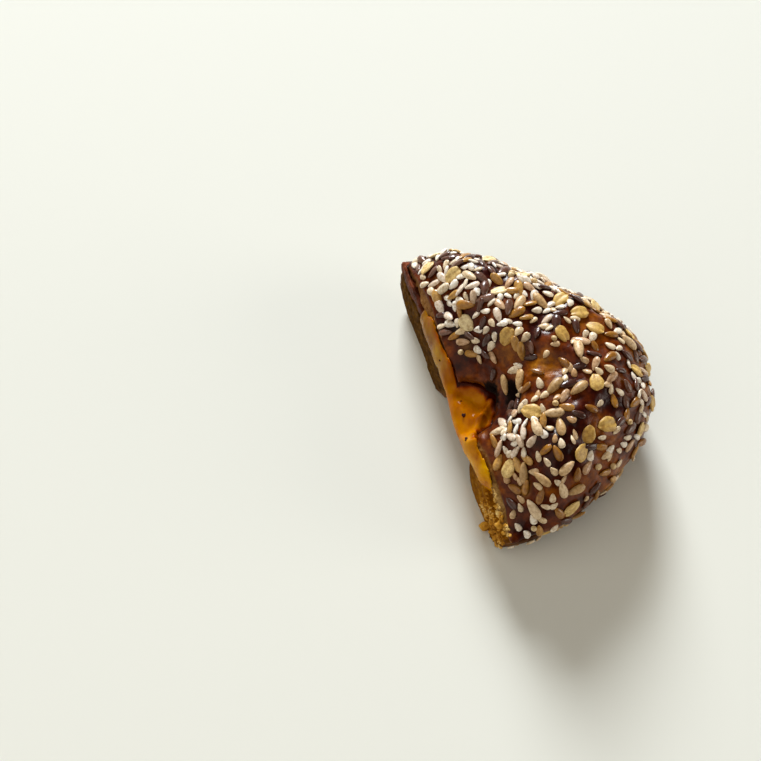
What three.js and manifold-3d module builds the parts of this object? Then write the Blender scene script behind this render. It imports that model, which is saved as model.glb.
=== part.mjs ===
// One half of a seeded bagel, filled with a slice of ham and melted cheese and cut through with a knife.
// Millimetres, +Z up. The part rests on Z = 0, its cut face looks along -X, and the cut runs along Y.
import * as THREE from "three";
import { mergeVertices } from "three/addons/utils/BufferGeometryUtils.js";
import Module from "manifold-3d";

const wasm = await Module();
wasm.setup();

// The whole bagel, measured from the axis of its hole. Its hole lies nearer to one end of the cut
const outerRadius = 54.5;
const holeRadius = 8.6;
const baseSliceHeight = 13; // the lower bread, from the plate to where it was sliced open
const fillingHeight = 6.5;
const crownHeight = 37;
const fitGap = 0.45; // clearance between the pieces
const rimHang = 2.6; // how far the crown's outer rim hangs below its slice
const mostSunk = fillingHeight - 0.7; // the crown never sinks quite on to the base

// How finely the ring is divided: round the hole, over the crown, down the base's wall and across the slices
const ringColumns = 48;
const domeSteps = 12;
const crownFaceSteps = 6;
const baseWallSteps = 4;
const baseFaceSteps = 2;

// The knife missed the axis, so this half is the larger. It leaned, and the crown sprang back behind the base
const baseKnife = { offset: 10, lean: 0.07 };
const crownKnife = { offset: 8.4, lean: 0.06 };
const pressedWidth = 17; // how far in from the cut the knife pressed the crown down
const pressedShare = 0.28; // what is left of the crown's thickness at the cut

// Where the hole's axis stands, so that the finished part is centred on the origin
const holeAxis = new THREE.Vector3(-21.4, -7.3, 0);

const ringHalfWidth = (outerRadius - holeRadius) / 2;
const crownSliceHeight = baseSliceHeight + fillingHeight;

// The section of the ring: a full ellipse, widest near the slice, and cut off flat below where it rests
const crownSection = {
  halfWidth: ringHalfWidth,
  widest: crownSliceHeight - 1.5,
  reach: crownHeight - crownSliceHeight + 1.5,
  fullness: 2.15,
};
const baseSection = { halfWidth: ringHalfWidth - 1.4, widest: baseSliceHeight + 1, reach: 16, fullness: 2.4 };

const degrees = Math.PI / 180;

function smoothStep(low, high, value) {
  const t = Math.min(1, Math.max(0, (value - low) / (high - low)));
  return t * t * (3 - 2 * t);
}

// Uneven hand shaping: how far the ring reaches out, and how far in, round the hole
function outerEdge(angle) {
  const offCentre = 7 * Math.sin(angle - 0.5);
  const oval = 3.9 * Math.sin(2 * angle + 2.97);
  const blunt = 2.7 * Math.sin(3 * angle + 1.72) + 0.8 * Math.sin(4 * angle + 1.4);
  return outerRadius + offCentre + oval + blunt;
}

function innerEdge(angle) {
  return holeRadius - 5.8 * Math.cos(angle) - 1.8 * Math.sin(angle) + 0.4 * Math.sin(3 * angle + 0.8);
}

function ringLine(angle) {
  return (outerEdge(angle) + innerEdge(angle)) / 2;
}

function ringWidth(angle) {
  return (outerEdge(angle) - innerEdge(angle)) / 2 / ringHalfWidth;
}

// Soft blisters and dimples of the crust, in millimetres
function crustLump(x, y, z) {
  return (
    0.5 * Math.sin(0.29 * x + 0.17 * z + 1.3) * Math.sin(0.25 * y + 0.4) +
    0.35 * Math.sin(0.47 * y - 0.33 * z + 2.1) * Math.cos(0.41 * x + 0.7)
  );
}

// The crown sinks towards the ends of the cut, most at the near end, where there is no cheese to hold it up
function crownDroop(x, y) {
  const inwards = smoothStep(0, 26, x + crownKnife.offset);
  return (5.6 - 3.4 * inwards) * smoothStep(10, 38, -y) + 2.4 * smoothStep(32, 62, y);
}

// Where the knife pressed the crown: its share of its full thickness, from the cut inwards
function crownPress(x) {
  return pressedShare + (1 - pressedShare) * smoothStep(0, pressedWidth, x + crownKnife.offset);
}

// A point of the section at a turn from 0 (outer side) over pi / 2 (top) to pi (hole side)
function sectionPoint(section, turn, grow) {
  const across = Math.cos(turn);
  const rise = Math.sin(turn);
  const power = 2 / section.fullness;
  return [
    (section.halfWidth + grow) * Math.sign(across) * Math.abs(across) ** power,
    section.widest + (section.reach + grow) * Math.sign(rise) * Math.abs(rise) ** power,
  ];
}

// The turn at which a section passes a height
function turnAtHeight(section, height) {
  const share = Math.abs(height - section.widest) / section.reach;
  return Math.asin(share ** (section.fullness / 2));
}

// The crown's outer rim hangs down past the filling
function rimSag(across) {
  return rimHang * smoothStep(0.45, 1, across / ringHalfWidth);
}

// Places a point of the section on the ring, with its hand-shaped width and lumps
function ringPoint(angle, across, up, isCrown) {
  const plain = ringLine(angle) + across * ringWidth(angle);
  const x = plain * Math.cos(angle);
  const y = plain * Math.sin(angle);
  const lump = crustLump(x, y, up) / ringHalfWidth;
  const radius = ringLine(angle) + across * ringWidth(angle) * (1 + lump);
  const place = [radius * Math.cos(angle), radius * Math.sin(angle)];
  if (!isCrown) return [...place, up];
  const lumpy = lump * crownHeight * smoothStep(crownSliceHeight, crownHeight, up);
  const above = (up - crownSliceHeight + lumpy) * (up > crownSliceHeight ? crownPress(place[0]) : 1);
  const sunk = Math.min(mostSunk, rimSag(across) + crownDroop(...place));
  return [...place, crownSliceHeight + above - sunk];
}

function solidFrom(positions, faces) {
  return new wasm.Manifold(
    new wasm.Mesh({
      numProp: 3,
      vertProperties: new Float32Array(positions),
      triVerts: new Uint32Array(faces),
    }),
  );
}

function solidFromGeometry(geometry) {
  geometry.deleteAttribute("normal");
  geometry.deleteAttribute("uv");
  const merged = mergeVertices(geometry, 1e-4);
  return solidFrom(merged.attributes.position.array, merged.index.array);
}

// A closed ring: the same loop of section points carried round the hole
function ringSolid(loop, isCrown) {
  const positions = [];
  const faces = [];
  const rows = loop.length;
  for (let i = 0; i < ringColumns; i++) {
    const angle = (2 * Math.PI * i) / ringColumns;
    for (const [across, up] of loop) positions.push(...ringPoint(angle, across, up, isCrown));
  }
  for (let i = 0; i < ringColumns; i++) {
    const next = (i + 1) % ringColumns;
    for (let j = 0; j < rows; j++) {
      const a = i * rows + j;
      const b = i * rows + ((j + 1) % rows);
      const c = next * rows + j;
      const d = next * rows + ((j + 1) % rows);
      faces.push(a, c, b, b, c, d);
    }
  }
  return solidFrom(positions, faces);
}

function spread(from, to, steps) {
  return Array.from({ length: steps + 1 }, (_, i) => from + ((to - from) * i) / steps);
}

// The crown: dome from the outer edge to the hole's edge, then back along the sliced face
function crownLoop(grow) {
  const start = turnAtHeight(crownSection, crownSliceHeight);
  const turns = spread(start, Math.PI - start, domeSteps);
  const dome = turns.map((turn) => sectionPoint(crownSection, turn, grow));
  dome[0][1] -= grow;
  dome[domeSteps][1] -= grow;
  const inner = dome[domeSteps];
  const face = spread(inner[0], dome[0][0], crownFaceSteps).slice(1, -1);
  return [...dome, ...face.map((across) => [across, inner[1]])];
}

// The base: side wall down to the flat it rests on, up the hole's wall, then back along the sliced face
function baseLoop(grow) {
  const top = turnAtHeight(baseSection, baseSliceHeight);
  const foot = turnAtHeight(baseSection, 0);
  const outer = spread(-top, -foot, baseWallSteps).map((turn) => sectionPoint(baseSection, turn, grow));
  outer[0][1] += grow;
  outer[baseWallSteps][1] = -grow;
  const wall = outer.map(([across, up]) => [-across, up]).reverse();
  const face = spread(-outer[0][0], outer[0][0], baseFaceSteps).slice(1, -1);
  return [...outer, ...wall, ...face.map((across) => [across, outer[0][1]])].reverse();
}

// The face that the knife left: leaning and slightly wavy
function knifeFace(knife, y, z) {
  const wave = 0.35 * Math.sin(0.21 * y + 0.4) + 0.25 * Math.sin(0.33 * z + 0.15 * y);
  return knife.lean * z - knife.offset + wave;
}

// Everything beyond that face
function knifeSide(knife, grow = 0) {
  const reach = { x: 100, y: 160, z: 70 };
  const block = new THREE.BoxGeometry(reach.x, reach.y, reach.z, 1, 20, 7);
  block.translate(reach.x / 2 - knife.offset, 0, reach.z / 2 - 10);
  const place = block.attributes.position;
  for (let i = 0; i < place.count; i++) {
    if (place.getX(i) < 0) place.setX(i, knifeFace(knife, place.getY(i), place.getZ(i)) - grow);
  }
  return solidFromGeometry(block);
}

// Keeps the main body, so that no scrap stays loose and no hollow stays sealed
function mainBody(solid) {
  return solid.decompose().reduce((best, body) => (body.volume() > best.volume() ? body : best));
}

// A small linear congruential generator, so that every scatter repeats
function seededDraws(seed) {
  let state = seed;
  return () => {
    state = (state * 1664525 + 1013904223) % 4294967296;
    return state / 4294967296;
  };
}

// The toppings, largest first: half length, half width and half thickness, and how many the crown carries
const toppings = [
  { kind: "oatFlake", size: [3.2, 2.4, 0.75], count: 30, point: 0.1, sides: 7 },
  { kind: "sunflowerKernel", size: [3.5, 1.55, 1.05], count: 22, point: 0.3, sides: 6 },
  { kind: "flaxSeed", size: [2.65, 1.2, 0.7], count: 98, point: 0.25, sides: 6 },
  { kind: "sesameSeed", size: [1.6, 1.0, 0.6], count: 28, point: 0.3, sides: 5 },
];

const scatterAngle = 104 * degrees; // how far round the ring this half reaches
const mostTries = 9000;

function surfaceFrame(pointAt, angle, turn) {
  const step = 1e-3;
  const here = new THREE.Vector3(...pointAt(angle, turn));
  const alongAngle = new THREE.Vector3(...pointAt(angle + step, turn)).sub(here).divideScalar(step);
  const alongTurn = new THREE.Vector3(...pointAt(angle, turn + step)).sub(here).divideScalar(step);
  const normal = new THREE.Vector3().crossVectors(alongAngle, alongTurn);
  const area = normal.length();
  return { here, along: alongAngle.normalize(), normal: normal.normalize(), area };
}

// Throws toppings at the crust: evenly by area, largest first, each clear of those already there
function scatter({ pointAt, turns, share, seed, clearOf, largestArea }) {
  const draw = seededDraws(seed);
  const placed = [];
  for (const topping of toppings) {
    const reach = Math.sqrt(topping.size[0] * topping.size[1]);
    let wanted = Math.round(topping.count * share);
    for (let tries = 0; wanted > 0 && tries < mostTries; tries++) {
      const angle = (draw() * 2 - 1) * scatterAngle;
      const turn = turns[0] + draw() * (turns[1] - turns[0]);
      const weight = draw();
      const spin = draw() * Math.PI;
      const frame = surfaceFrame(pointAt, angle, turn);
      if (weight * largestArea > frame.area || !clearOf(frame.here, topping.size[0])) continue;
      if (placed.some((other) => other.here.distanceTo(frame.here) < 1.04 * (other.reach + reach))) continue;
      placed.push({ ...frame, topping, reach, spin });
      wanted--;
    }
  }
  return placed;
}

// One topping: a flattened ball drawn to a point at one end, pressed into the crust
function toppingSolid({ here, along, normal, spin, topping }) {
  const [length, width, thickness] = topping.size;
  const ball = new THREE.SphereGeometry(1, topping.sides, 3);
  ball.rotateX(Math.PI / 2);
  const place = ball.attributes.position;
  for (let i = 0; i < place.count; i++) {
    const taper = 1 - topping.point * place.getX(i);
    place.setY(i, place.getY(i) * taper);
  }
  ball.scale(length, width, thickness);
  const direction = along.clone().applyAxisAngle(normal, spin);
  const sideways = new THREE.Vector3().crossVectors(normal, direction);
  const centre = here.clone().addScaledVector(normal, 0.2 * thickness);
  ball.applyMatrix4(new THREE.Matrix4().makeBasis(direction, sideways, normal).setPosition(centre));
  return solidFromGeometry(ball);
}

// The crown, with its toppings fused to the crust
function crownBread() {
  const plain = ringSolid(crownLoop(0), true).intersect(knifeSide(crownKnife));
  const start = turnAtHeight(crownSection, crownSliceHeight);
  const seeds = scatter({
    pointAt: (angle, turn) => ringPoint(angle, ...sectionPoint(crownSection, turn, 0), true),
    turns: [start, Math.PI - start],
    share: 1,
    seed: 20617,
    largestArea: 1950,
    clearOf: ({ x, y, z }, length) =>
      x > knifeFace(crownKnife, y, z) + 0.75 * length &&
      z > crownSliceHeight - Math.min(mostSunk, rimHang + crownDroop(x, y)) + 0.7 * length &&
      !(Math.hypot(x + 4, y) < 13 && z < 26),
  });
  return mainBody(wasm.Manifold.union([plain, ...seeds.map(toppingSolid)]));
}

// The base bread, with the few toppings that its side wall carries
function baseBread() {
  const plain = ringSolid(baseLoop(0), false).intersect(knifeSide(baseKnife));
  const top = turnAtHeight(baseSection, baseSliceHeight);
  const foot = turnAtHeight(baseSection, 0);
  const seeds = scatter({
    pointAt: (angle, turn) => ringPoint(angle, ...sectionPoint(baseSection, turn, 0), false),
    turns: [-foot, -top],
    share: 0.08,
    seed: 4409,
    largestArea: 1500,
    clearOf: ({ x, y, z }, length) =>
      x > knifeFace(baseKnife, y, z) + 0.75 * length && z > 4 && z < baseSliceHeight - 0.75 * length,
  });
  return mainBody(wasm.Manifold.union([plain, ...seeds.map(toppingSolid)]));
}

// A closed sheet: a grid of places, each with an upper and a lower height
function sheetSolid(columns, rows, placeAt) {
  const positions = [];
  const faces = [];
  for (const side of ["upper", "lower"]) {
    for (let i = 0; i <= columns; i++) {
      for (let j = 0; j <= rows; j++) {
        const place = placeAt(i / columns, j / rows);
        positions.push(place.x, place.y, place[side]);
      }
    }
  }
  const below = (columns + 1) * (rows + 1);
  const at = (i, j) => i * (rows + 1) + j;
  const addQuad = (a, b, c, d) => faces.push(a, b, c, a, c, d);
  for (let i = 0; i < columns; i++) {
    for (let j = 0; j < rows; j++) {
      const corners = [at(i, j), at(i, j + 1), at(i + 1, j + 1), at(i + 1, j)];
      addQuad(...corners);
      addQuad(...corners.map((corner) => corner + below).reverse());
    }
  }
  const rim = [];
  for (let j = 0; j < rows; j++) rim.push(at(0, j));
  for (let i = 0; i < columns; i++) rim.push(at(i, rows));
  for (let j = rows; j > 0; j--) rim.push(at(columns, j));
  for (let i = columns; i > 0; i--) rim.push(at(i, 0));
  rim.forEach((here, n) => {
    const next = rim[(n + 1) % rim.length];
    addQuad(here, here + below, next + below, next);
  });
  return solidFrom(positions, faces);
}

// The ham: a thin wavy slice that lies on the base. It is folded double in the gap at the far end of the cut
const ham = { thickness: 2.1, fold: 2.1, lift: 0.9, from: -30 * degrees, to: 112 * degrees, inner: holeRadius + 7 };

function hamWave(x, y) {
  return 0.45 * Math.sin(0.3 * x + 0.2 * y) + 0.35 * Math.sin(0.42 * y - 0.2 * x + 1);
}

function hamSlice(grow) {
  const slack = grow / ham.inner;
  return sheetSolid(20, 3, (along, across) => {
    const angle = ham.from - slack + (ham.to - ham.from + 2 * slack) * along;
    const inner = ham.inner - grow;
    const setIn = 1.4 + 1.8 * smoothStep(40 * degrees, 60 * degrees, angle);
    const outer = outerEdge(angle) - setIn + 1.2 * Math.sin(4 * angle + 0.8) + grow;
    const radius = inner + (outer - inner) * across;
    const x = radius * Math.cos(angle);
    const y = radius * Math.sin(angle);
    const lower = baseSliceHeight + ham.lift + hamWave(x, y);
    const thickness = ham.thickness + ham.fold * smoothStep(36, 43, y);
    return { x, y, upper: lower + thickness + grow, lower: lower - grow };
  });
}

// The cheese: how far it has run out past the cut, more and more towards the near end. It stops short of both ends
function cheeseLip(y) {
  const swell = 0.9 + 2.6 * smoothStep(40, -25, y) + 0.25 * Math.sin(0.23 * y + 0.6);
  const drip = 0.8 * Math.exp(-(((y + 22) / 6) ** 2));
  return swell + drip - 15 * smoothStep(38, 46, y) - 7 * smoothStep(30, 37, -y);
}

// The cheese's ragged outer edge, set in from the bread's
function cheeseEdge(angle) {
  return outerEdge(angle) - 3 - 1.3 * Math.sin(5 * angle + 0.4) - 0.8 * Math.sin(9 * angle);
}

// How far in from the hole's axis that edge lies, at a distance along the cut: found by halving
function cheeseBack(y) {
  let low = -Math.PI / 2;
  let high = Math.PI / 2;
  for (let i = 0; i < 30; i++) {
    const angle = (low + high) / 2;
    if (cheeseEdge(angle) * Math.sin(angle) < y) low = angle;
    else high = angle;
  }
  return Math.max(0, cheeseEdge(low) * Math.cos(low));
}

// Where the cheese spans the hole: 1 over its middle, 0 between the breads. There it is thinner and has sagged
function overHole(x, y) {
  return 1 - smoothStep(0.8, 1.3, Math.hypot((x + 5) / 11, y / 11.5));
}

// The cheese is laid out along straight rays that start on the cut, so that its lip follows the cut
function cheeseLayer(cutters) {
  const layer = { middle: baseSliceHeight + fillingHeight / 2, from: -43, to: 56 };
  const cheese = sheetSolid(30, 6, (along, inwards) => {
    const y = layer.from + (layer.to - layer.from) * along;
    const back = cheeseBack(y);
    const front = Math.min(knifeFace(baseKnife, y, layer.middle) - cheeseLip(y), back - 3);
    const x = front + (back - front) * (0.35 * inwards + 0.65 * smoothStep(0, 1, inwards));
    const fromFront = Math.min(1, (x - front) / 3.4);
    const fromBack = 1 - Math.min(1, (back - x) / 4);
    const hole = overHole(x, y);
    const thick = 1 + 4.6 * Math.sqrt(fromFront) * (1 - 0.55 * hole) - 3 * fromBack ** 2;
    const middle = layer.middle - 1.2 * hole + 0.3 * Math.sin(0.37 * y + 0.5 * x);
    const lump = 0.6 * hole * Math.sin(0.6 * x + 0.5 * y);
    return { x, y, upper: middle + thick + lump, lower: middle - thick };
  });
  return mainBody(cutters.reduce((rest, cutter) => rest.subtract(cutter), cheese));
}

function meshOf(name, solid, look) {
  const mesh = solid.getMesh();
  const places = new Float32Array(mesh.numVert * 3);
  for (let i = 0; i < mesh.numVert; i++) {
    places.set(mesh.vertProperties.subarray(i * mesh.numProp, i * mesh.numProp + 3), i * 3);
  }
  const geometry = new THREE.BufferGeometry();
  geometry.setAttribute("position", new THREE.BufferAttribute(places, 3));
  geometry.setIndex(new THREE.BufferAttribute(mesh.triVerts, 1));
  geometry.computeVertexNormals();
  const made = new THREE.Mesh(geometry, new THREE.MeshStandardMaterial(look));
  made.name = name;
  return made;
}

// Grown copies of the breads and the ham leave the clearance round the softer pieces
const crownRoom = ringSolid(crownLoop(fitGap), true).intersect(knifeSide(crownKnife, fitGap));
const baseRoom = ringSolid(baseLoop(fitGap), false).intersect(knifeSide(baseKnife, fitGap));
const hamRoom = hamSlice(fitGap).intersect(knifeSide(baseKnife, fitGap));
const hamSolid = mainBody(hamSlice(0).intersect(knifeSide(baseKnife)).subtract(baseRoom).subtract(crownRoom));
const cheeseSolid = cheeseLayer([baseRoom, crownRoom, hamRoom]);

const bagel = new THREE.Group();
bagel.position.copy(holeAxis);
bagel.add(meshOf("base_bread", baseBread(), { color: 0x8a5a2c, roughness: 0.7, metalness: 0 }));
bagel.add(meshOf("ham_slice", hamSolid, { color: 0xb0604e, roughness: 0.45, metalness: 0 }));
bagel.add(meshOf("cheese", cheeseSolid, { color: 0xe09a1e, roughness: 0.35, metalness: 0 }));
bagel.add(meshOf("crown_bread", crownBread(), { color: 0x7a4318, roughness: 0.5, metalness: 0 }));

export default bagel;
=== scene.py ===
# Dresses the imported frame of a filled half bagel: two breads, ham, melted cheese, seeds and crumbs.
# Shapes are worked out in millimetres round the axis of the bagel's hole, and become metres at the end.
import math
import random

import bmesh
import bpy
from mathutils import Matrix, Vector, noise


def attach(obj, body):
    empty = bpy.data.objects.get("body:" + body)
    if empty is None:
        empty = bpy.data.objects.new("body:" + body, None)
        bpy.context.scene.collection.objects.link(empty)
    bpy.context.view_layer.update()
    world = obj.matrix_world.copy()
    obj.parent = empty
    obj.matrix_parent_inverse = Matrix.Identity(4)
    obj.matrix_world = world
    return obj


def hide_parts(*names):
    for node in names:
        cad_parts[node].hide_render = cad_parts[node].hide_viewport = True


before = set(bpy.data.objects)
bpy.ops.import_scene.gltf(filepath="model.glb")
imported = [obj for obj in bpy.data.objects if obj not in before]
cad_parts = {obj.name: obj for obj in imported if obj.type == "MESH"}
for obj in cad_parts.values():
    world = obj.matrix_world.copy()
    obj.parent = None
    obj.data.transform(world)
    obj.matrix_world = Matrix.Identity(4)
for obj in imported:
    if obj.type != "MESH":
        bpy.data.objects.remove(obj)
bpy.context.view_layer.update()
print("frame loaded:", sorted(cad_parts))

# The shape of the bagel, as the frame has it

bagel = {
    "outerRadius": 54.5,
    "holeRadius": 8.6,
    "baseSlice": 13.0,   # height at which the lower bread was sliced off
    "crownSlice": 19.5,  # and where the upper bread begins, above the filling
    "crownHeight": 37.0,
    "rimHang": 2.6,
    "mostSunk": 5.8,
    "pressedWidth": 17.0,  # the knife pressed the crown down near the cut
    "pressedShare": 0.28,
    "holeAxis": (-21.4, -7.3),
}
halfWidth = (bagel["outerRadius"] - bagel["holeRadius"]) / 2
crownSection = {"halfWidth": halfWidth, "widest": 18.0, "reach": 19.0, "fullness": 2.15}
baseSection = {"halfWidth": halfWidth - 1.4, "widest": 14.0, "reach": 16.0, "fullness": 2.4}
crownKnife = {"offset": 8.4, "lean": 0.06}
baseKnife = {"offset": 10.0, "lean": 0.07}


def smoothStep(low, high, value):
    t = min(1.0, max(0.0, (value - low) / (high - low)))
    return t * t * (3 - 2 * t)


def outerEdge(angle):
    offCentre = 7 * math.sin(angle - 0.5)
    oval = 3.9 * math.sin(2 * angle + 2.97)
    blunt = 2.7 * math.sin(3 * angle + 1.72) + 0.8 * math.sin(4 * angle + 1.4)
    return bagel["outerRadius"] + offCentre + oval + blunt


def innerEdge(angle):
    wave = 0.4 * math.sin(3 * angle + 0.8)
    return bagel["holeRadius"] - 5.8 * math.cos(angle) - 1.8 * math.sin(angle) + wave


def ringLine(angle):
    return (outerEdge(angle) + innerEdge(angle)) / 2


def ringWidth(angle):
    return (outerEdge(angle) - innerEdge(angle)) / 2 / halfWidth


def crustLump(x, y, z):
    return (
        0.5 * math.sin(0.29 * x + 0.17 * z + 1.3) * math.sin(0.25 * y + 0.4)
        + 0.35 * math.sin(0.47 * y - 0.33 * z + 2.1) * math.cos(0.41 * x + 0.7)
    )


def crownDroop(x, y):
    inwards = smoothStep(0, 26, x + crownKnife["offset"])
    return (5.6 - 3.4 * inwards) * smoothStep(10, 38, -y) + 2.4 * smoothStep(32, 62, y)


def crownPress(x):
    share = bagel["pressedShare"]
    return share + (1 - share) * smoothStep(0, bagel["pressedWidth"], x + crownKnife["offset"])


def rimSag(across):
    return bagel["rimHang"] * smoothStep(0.45, 1, across / halfWidth)


def crownSunk(x, y, across):
    return min(bagel["mostSunk"], rimSag(across) + crownDroop(x, y))


def sectionPoint(section, turn):
    across, rise = math.cos(turn), math.sin(turn)
    power = 2 / section["fullness"]
    return (
        section["halfWidth"] * math.copysign(abs(across) ** power, across),
        section["widest"] + section["reach"] * math.copysign(abs(rise) ** power, rise),
    )


def turnAtHeight(section, height):
    return math.asin((abs(height - section["widest"]) / section["reach"]) ** (section["fullness"] / 2))


def ringPoint(angle, across, up, isCrown):
    plain = ringLine(angle) + across * ringWidth(angle)
    lump = crustLump(plain * math.cos(angle), plain * math.sin(angle), up) / halfWidth
    radius = ringLine(angle) + across * ringWidth(angle) * (1 + lump)
    x, y = radius * math.cos(angle), radius * math.sin(angle)
    if not isCrown:
        return Vector((x, y, up))
    lowest = bagel["crownSlice"]
    lumpy = lump * bagel["crownHeight"] * smoothStep(lowest, bagel["crownHeight"], up)
    above = (up - lowest + lumpy) * (crownPress(x) if up > lowest else 1)
    return Vector((x, y, lowest + above - crownSunk(x, y, across)))


def knifeFace(knife, y, z):
    sway = 0.35 * math.sin(0.21 * y + 0.4)
    return knife["lean"] * z - knife["offset"] + sway + 0.25 * math.sin(0.33 * z + 0.15 * y)


# How deep below the crust a point of the bread lies, in millimetres
def crustDepth(section, place, isCrown):
    x, y, z = place
    angle = math.atan2(y, x)
    lump = crustLump(x, y, z) / halfWidth
    across = (math.hypot(x, y) - ringLine(angle)) / (ringWidth(angle) * (1 + lump))
    up, press = z, 1.0
    if isCrown:
        above = z - bagel["crownSlice"] + crownSunk(x, y, across)
        if above > 0:
            press = crownPress(x)
            rise = above / press
            up = bagel["crownSlice"] + rise - lump * bagel["crownHeight"] * smoothStep(0, 17, rise)
        else:
            up = bagel["crownSlice"] + above
    power = section["fullness"]
    sideways = (abs(across) / section["halfWidth"]) ** power
    upwards = (abs(up - section["widest"]) / section["reach"]) ** power
    return (1 - (sideways + upwards) ** (1 / power)) * section["reach"] * (0.35 + 0.65 * press)


# A closed bmesh made over into even small faces; the old one is freed
def remeshed(bm, voxel):
    mesh = bpy.data.meshes.new("coarse")
    bm.to_mesh(mesh)
    bm.free()
    coarse = bpy.data.objects.new("coarse", mesh)
    bpy.context.scene.collection.objects.link(coarse)
    grain = coarse.modifiers.new("grain", "REMESH")
    grain.mode = "VOXEL"
    grain.voxel_size = voxel
    evaluated = coarse.evaluated_get(bpy.context.evaluated_depsgraph_get())
    fine = bmesh.new()
    fine.from_mesh(evaluated.to_mesh())
    evaluated.to_mesh_clear()
    bpy.data.objects.remove(coarse)
    bpy.data.meshes.remove(mesh)
    fine.normal_update()
    return fine


def smoothOut(bm, times):
    for _ in range(times):
        bmesh.ops.smooth_vert(
            bm, verts=bm.verts, factor=0.5, use_axis_x=True, use_axis_y=True, use_axis_z=True,
        )


# Moves a finished bmesh from the hole's axis to its place in the frame, and makes it a piece
def placePiece(bm, name, material):
    x, y = bagel["holeAxis"]
    bmesh.ops.translate(bm, vec=(x, y, 0), verts=bm.verts)
    bmesh.ops.scale(bm, vec=(0.001, 0.001, 0.001), verts=bm.verts)
    for face in bm.faces:
        face.smooth = True
    mesh = bpy.data.meshes.new(name)
    bm.to_mesh(mesh)
    bm.free()
    piece = bpy.data.objects.new(name, mesh)
    bpy.context.scene.collection.objects.link(piece)
    mesh.materials.append(material)
    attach(piece, "root")
    print("made", name, len(mesh.polygons), "faces")
    return piece


# A frame node's own mesh, merged, in millimetres round the hole's axis
def nodeCopy(nodeName):
    bm = bmesh.new()
    bm.from_mesh(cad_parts[nodeName].data)
    bmesh.ops.scale(bm, vec=(1000, 1000, 1000), verts=bm.verts)
    x, y = bagel["holeAxis"]
    bmesh.ops.translate(bm, vec=(-x, -y, 0), verts=bm.verts)
    bmesh.ops.remove_doubles(bm, verts=bm.verts, dist=0.002)
    return bm


# Moves every point outwards by its own distance
def pushAlongNormals(bm, distanceAt):
    bm.normal_update()
    moves = [(vert, vert.normal * distanceAt(vert)) for vert in bm.verts]
    for vert, move in moves:
        vert.co += move
    bm.normal_update()


# Materials are made of the few nodes below, on Object coordinates and the pieces' own attributes
def colourOf(text):
    parts = [int(text[i:i + 2], 16) / 255 for i in (1, 3, 5)]
    return [*(c / 12.92 if c <= 0.04045 else ((c + 0.055) / 1.055) ** 2.4 for c in parts), 1.0]


# Sockets are named as in the editor, with _ for a space
def newMaterial(name, roughness, **sockets):
    material = bpy.data.materials.new(name)
    material.use_nodes = True
    tree = material.node_tree
    shader = tree.nodes["Principled BSDF"]
    shader.inputs["Roughness"].default_value = roughness
    for socket, value in sockets.items():
        shader.inputs[socket.replace("_", " ")].default_value = value
    return material, tree, shader


def objectNoise(tree, scale, detail=4.0, roughness=0.55):
    place = tree.nodes.new("ShaderNodeTexCoord")
    texture = tree.nodes.new("ShaderNodeTexNoise")
    texture.inputs["Scale"].default_value = scale
    texture.inputs["Detail"].default_value = detail
    texture.inputs["Roughness"].default_value = roughness
    tree.links.new(place.outputs["Object"], texture.inputs["Vector"])
    return texture.outputs["Fac"]


def objectCells(tree, scale):
    place = tree.nodes.new("ShaderNodeTexCoord")
    texture = tree.nodes.new("ShaderNodeTexVoronoi")
    texture.inputs["Scale"].default_value = scale
    tree.links.new(place.outputs["Object"], texture.inputs["Vector"])
    return texture.outputs["Distance"]


# How far along the cut a point lies: metres, from the near end to the far end
def alongCut(tree):
    place = tree.nodes.new("ShaderNodeTexCoord")
    parts = tree.nodes.new("ShaderNodeSeparateXYZ")
    tree.links.new(place.outputs["Object"], parts.inputs["Vector"])
    return parts.outputs["Y"]


def attributeOf(tree, name):
    reader = tree.nodes.new("ShaderNodeAttribute")
    reader.attribute_name = name
    return reader.outputs["Fac"]


def ramp(tree, source, stops):
    node = tree.nodes.new("ShaderNodeValToRGB")
    elements = node.color_ramp.elements
    while len(elements) < len(stops):
        elements.new(0.5)
    for element, (place, colour) in zip(elements, stops):
        element.position = place
        element.color = colourOf(colour)
    tree.links.new(source, node.inputs["Fac"])
    return node.outputs["Color"]


def mixColours(tree, share, first, second, blend="MIX"):
    node = tree.nodes.new("ShaderNodeMix")
    node.data_type = "RGBA"
    node.blend_type = blend
    for source, socket in ((share, node.inputs[0]), (first, node.inputs[6]), (second, node.inputs[7])):
        if isinstance(source, bpy.types.NodeSocket):
            tree.links.new(source, socket)
        else:
            socket.default_value = source
    return node.outputs[2]


def mapRange(tree, source, low, high, toLow, toHigh):
    node = tree.nodes.new("ShaderNodeMapRange")
    for socket, value in (("From Min", low), ("From Max", high), ("To Min", toLow), ("To Max", toHigh)):
        node.inputs[socket].default_value = value
    tree.links.new(source, node.inputs["Value"])
    return node.outputs["Result"]


def combined(tree, first, second, operation="ADD"):
    node = tree.nodes.new("ShaderNodeMath")
    node.operation = operation
    for source, socket in ((first, node.inputs[0]), (second, node.inputs[1])):
        if isinstance(source, bpy.types.NodeSocket):
            tree.links.new(source, socket)
        else:
            socket.default_value = source
    return node.outputs[0]


def bump(tree, shader, height, distance, strength=1.0):
    node = tree.nodes.new("ShaderNodeBump")
    node.inputs["Strength"].default_value = strength
    node.inputs["Distance"].default_value = distance
    tree.links.new(height, node.inputs["Height"])
    tree.links.new(node.outputs["Normal"], shader.inputs["Normal"])


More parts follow.
